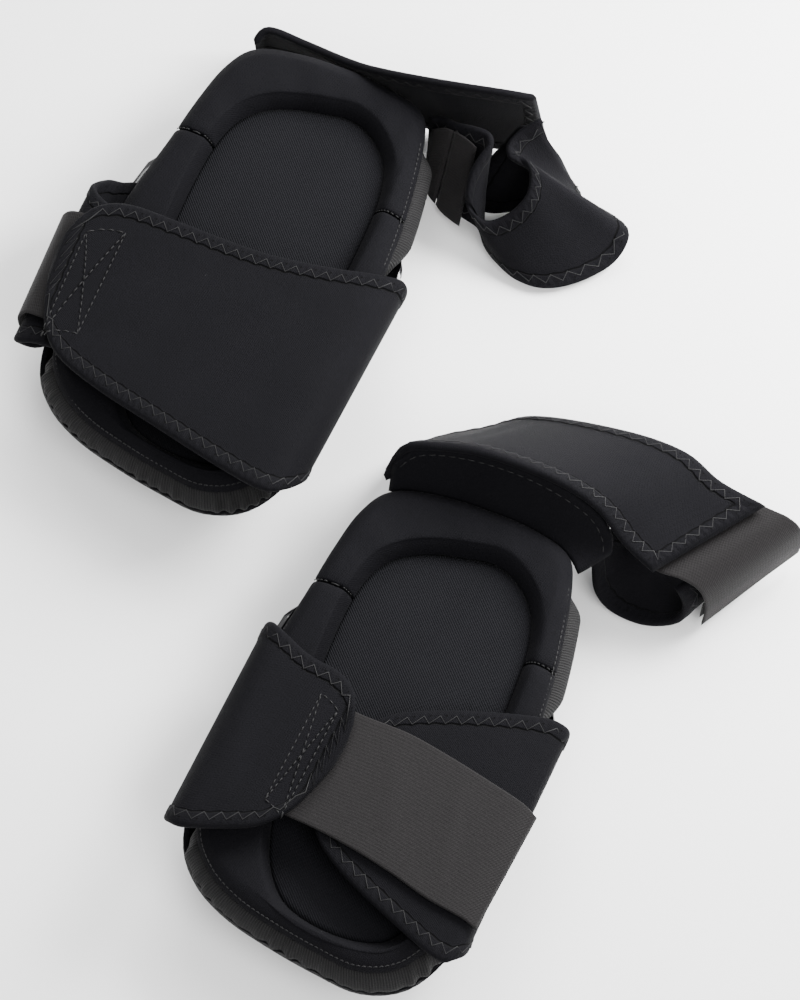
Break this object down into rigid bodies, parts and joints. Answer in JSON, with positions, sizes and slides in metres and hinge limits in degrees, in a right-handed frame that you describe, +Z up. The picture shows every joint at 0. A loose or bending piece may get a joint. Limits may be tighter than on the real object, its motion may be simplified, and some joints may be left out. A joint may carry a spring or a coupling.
{
  "type": "knee pads",
  "caption": "Pair of strap-on work knee pads with a hard cap, padded neoprene bolsters, and wrap-round wings closed by elastic hook-and-loop bands.",
  "frame": {"origin": "middle of the pair's bounding box, on the surface that the two caps rest on", "axes": "+X to the right across the pair, +Y away towards the thigh ends, +Z up, out of the knee side of the pads"},
  "size_m": [0.4724, 0.633, 0.086],
  "materials": {
    "neoprene": "black neoprene with a smooth knitted face and a slight sheen",
    "knit": "black fine diagonal knit",
    "elastic": "charcoal ribbed woven elastic",
    "binding": "black grosgrain binding",
    "foam": "dark closed-cell foam",
    "hook": "black hook tape",
    "cap": "glossy black moulded plastic",
    "rivet": "plain steel rivet"
  },
  "bodies": {
    "left_pad": {"left_cap_shell": "cap", "left_outer_cover": "neoprene", "left_foam_core": "foam", "left_centre_panel": "knit", "left_upper_bolster": "neoprene", "left_lower_bolster": "neoprene", "left_outer_side_binding": "binding", "left_inner_side_binding": "binding", "left_bottom_binding": "binding", "left_cap_rivet_1": "rivet", "left_cap_rivet_2": "rivet", "left_cap_rivet_3": "rivet", "left_cap_rivet_4": "rivet"},
    "left_lower_tongue_wing": {"left_lower_tongue": "neoprene", "left_lower_band_root": "elastic"},
    "left_lower_catch_wing": {"left_lower_catch": "neoprene"},
    "left_lower_elastic": {"left_lower_band": "elastic", "left_lower_hook_patch": "hook"},
    "left_upper_tongue_wing": {"left_upper_tongue": "neoprene"},
    "left_upper_catch_wing": {"left_upper_catch": "neoprene"},
    "left_upper_elastic": {"left_upper_band": "elastic"},
    "right_pad": {"right_cap_shell": "cap", "right_outer_cover": "neoprene", "right_foam_core": "foam", "right_centre_panel": "knit", "right_upper_bolster": "neoprene", "right_lower_bolster": "neoprene", "right_outer_side_binding": "binding", "right_inner_side_binding": "binding", "right_bottom_binding": "binding", "right_cap_rivet_1": "rivet", "right_cap_rivet_2": "rivet", "right_cap_rivet_3": "rivet", "right_cap_rivet_4": "rivet", "right_top_band": "neoprene"},
    "right_lower_tongue_wing": {"right_lower_tongue": "neoprene", "right_lower_band_root": "elastic"},
    "right_lower_catch_wing": {"right_lower_catch": "neoprene"},
    "right_lower_elastic": {"right_lower_band": "elastic", "right_lower_hook_patch": "hook"},
    "right_upper_tongue_wing": {"right_upper_tongue": "neoprene", "right_upper_band_root": "elastic"},
    "right_upper_catch_wing": {"right_upper_catch": "neoprene"},
    "right_upper_elastic": {"right_upper_band": "elastic", "right_upper_hook_patch": "hook"}
  },
  "joints": [
    {"name": "right_pad_lift", "type": "slide", "parent": "left_pad", "child": "right_pad", "axis": [0, 0, 1], "range_m": [0, 0.25]},
    {"name": "left_lower_tongue_open", "type": "hinge", "parent": "left_pad", "child": "left_lower_tongue_wing", "pos_m": [-0.03617, 0.05744, 0.044], "axis": [0.4226, 0.9063, 0], "range_deg": [0, 100]},
    {"name": "left_lower_catch_open", "type": "hinge", "parent": "left_pad", "child": "left_lower_catch_wing", "pos_m": [-0.20414, 0.1468, 0.044], "axis": [-0.4226, -0.9063, 0], "range_deg": [0, 45]},
    {"name": "left_lower_elastic_peel", "type": "hinge", "parent": "left_lower_tongue_wing", "child": "left_lower_elastic", "pos_m": [-0.21462, 0.13734, 0.063], "axis": [0.348, 0.9375, 0], "range_deg": [0, 80]},
    {"name": "left_upper_tongue_lift", "type": "hinge", "parent": "left_pad", "child": "left_upper_tongue_wing", "pos_m": [0.01791, 0.23966, 0.036], "axis": [-0.4226, -0.9063, 0], "range_deg": [0, 45]},
    {"name": "left_upper_catch_swing", "type": "hinge", "parent": "left_pad", "child": "left_upper_catch_wing", "pos_m": [-0.08783, 0.31104, 0.04], "axis": [0, 0, 1], "range_deg": [0, 30]},
    {"name": "left_upper_elastic_peel", "type": "hinge", "parent": "left_upper_tongue_wing", "child": "left_upper_elastic", "pos_m": [0.03677, 0.20439, 0.0315], "axis": [0.2032, 0.4358, 0.8768], "range_deg": [0, 12]},
    {"name": "right_lower_tongue_open", "type": "hinge", "parent": "right_pad", "child": "right_lower_tongue_wing", "pos_m": [-0.11031, -0.15792, 0.0415], "axis": [-0.3907, -0.9205, 0], "range_deg": [0, 100]},
    {"name": "right_lower_catch_open", "type": "hinge", "parent": "right_pad", "child": "right_lower_catch_wing", "pos_m": [0.05803, -0.23481, 0.044], "axis": [0.3907, 0.9205, 0], "range_deg": [0, 45]},
    {"name": "right_lower_elastic_peel", "type": "hinge", "parent": "right_lower_tongue_wing", "child": "right_lower_elastic", "pos_m": [-0.03876, -0.19155, 0.065], "axis": [-0.3907, -0.9205, 0], "range_deg": [0, 90]},
    {"name": "right_upper_tongue_lift", "type": "hinge", "parent": "right_pad", "child": "right_upper_tongue_wing", "pos_m": [-0.00156, 0.02405, 0.05], "axis": [-0.3907, -0.9205, 0], "range_deg": [0, 80]},
    {"name": "right_upper_catch_lift", "type": "hinge", "parent": "right_pad", "child": "right_upper_catch_wing", "pos_m": [0.11236, -0.03517, 0.034], "axis": [-0.3907, -0.9205, 0], "range_deg": [0, 22]},
    {"name": "right_upper_elastic_peel", "type": "hinge", "parent": "right_upper_tongue_wing", "child": "right_upper_elastic", "pos_m": [0.1818, -0.03998, 0.0474], "axis": [-0.8617, -0.5074, 0], "range_deg": [0, 80]}
  ],
  "couplings": [
    {"joint": "left_lower_catch_open", "follows": "left_lower_tongue_open", "ratio": 0.4},
    {"joint": "right_lower_catch_open", "follows": "right_lower_tongue_open", "ratio": 0.4},
    {"joint": "right_upper_catch_lift", "follows": "right_upper_tongue_lift", "ratio": 0.25}
  ]
}
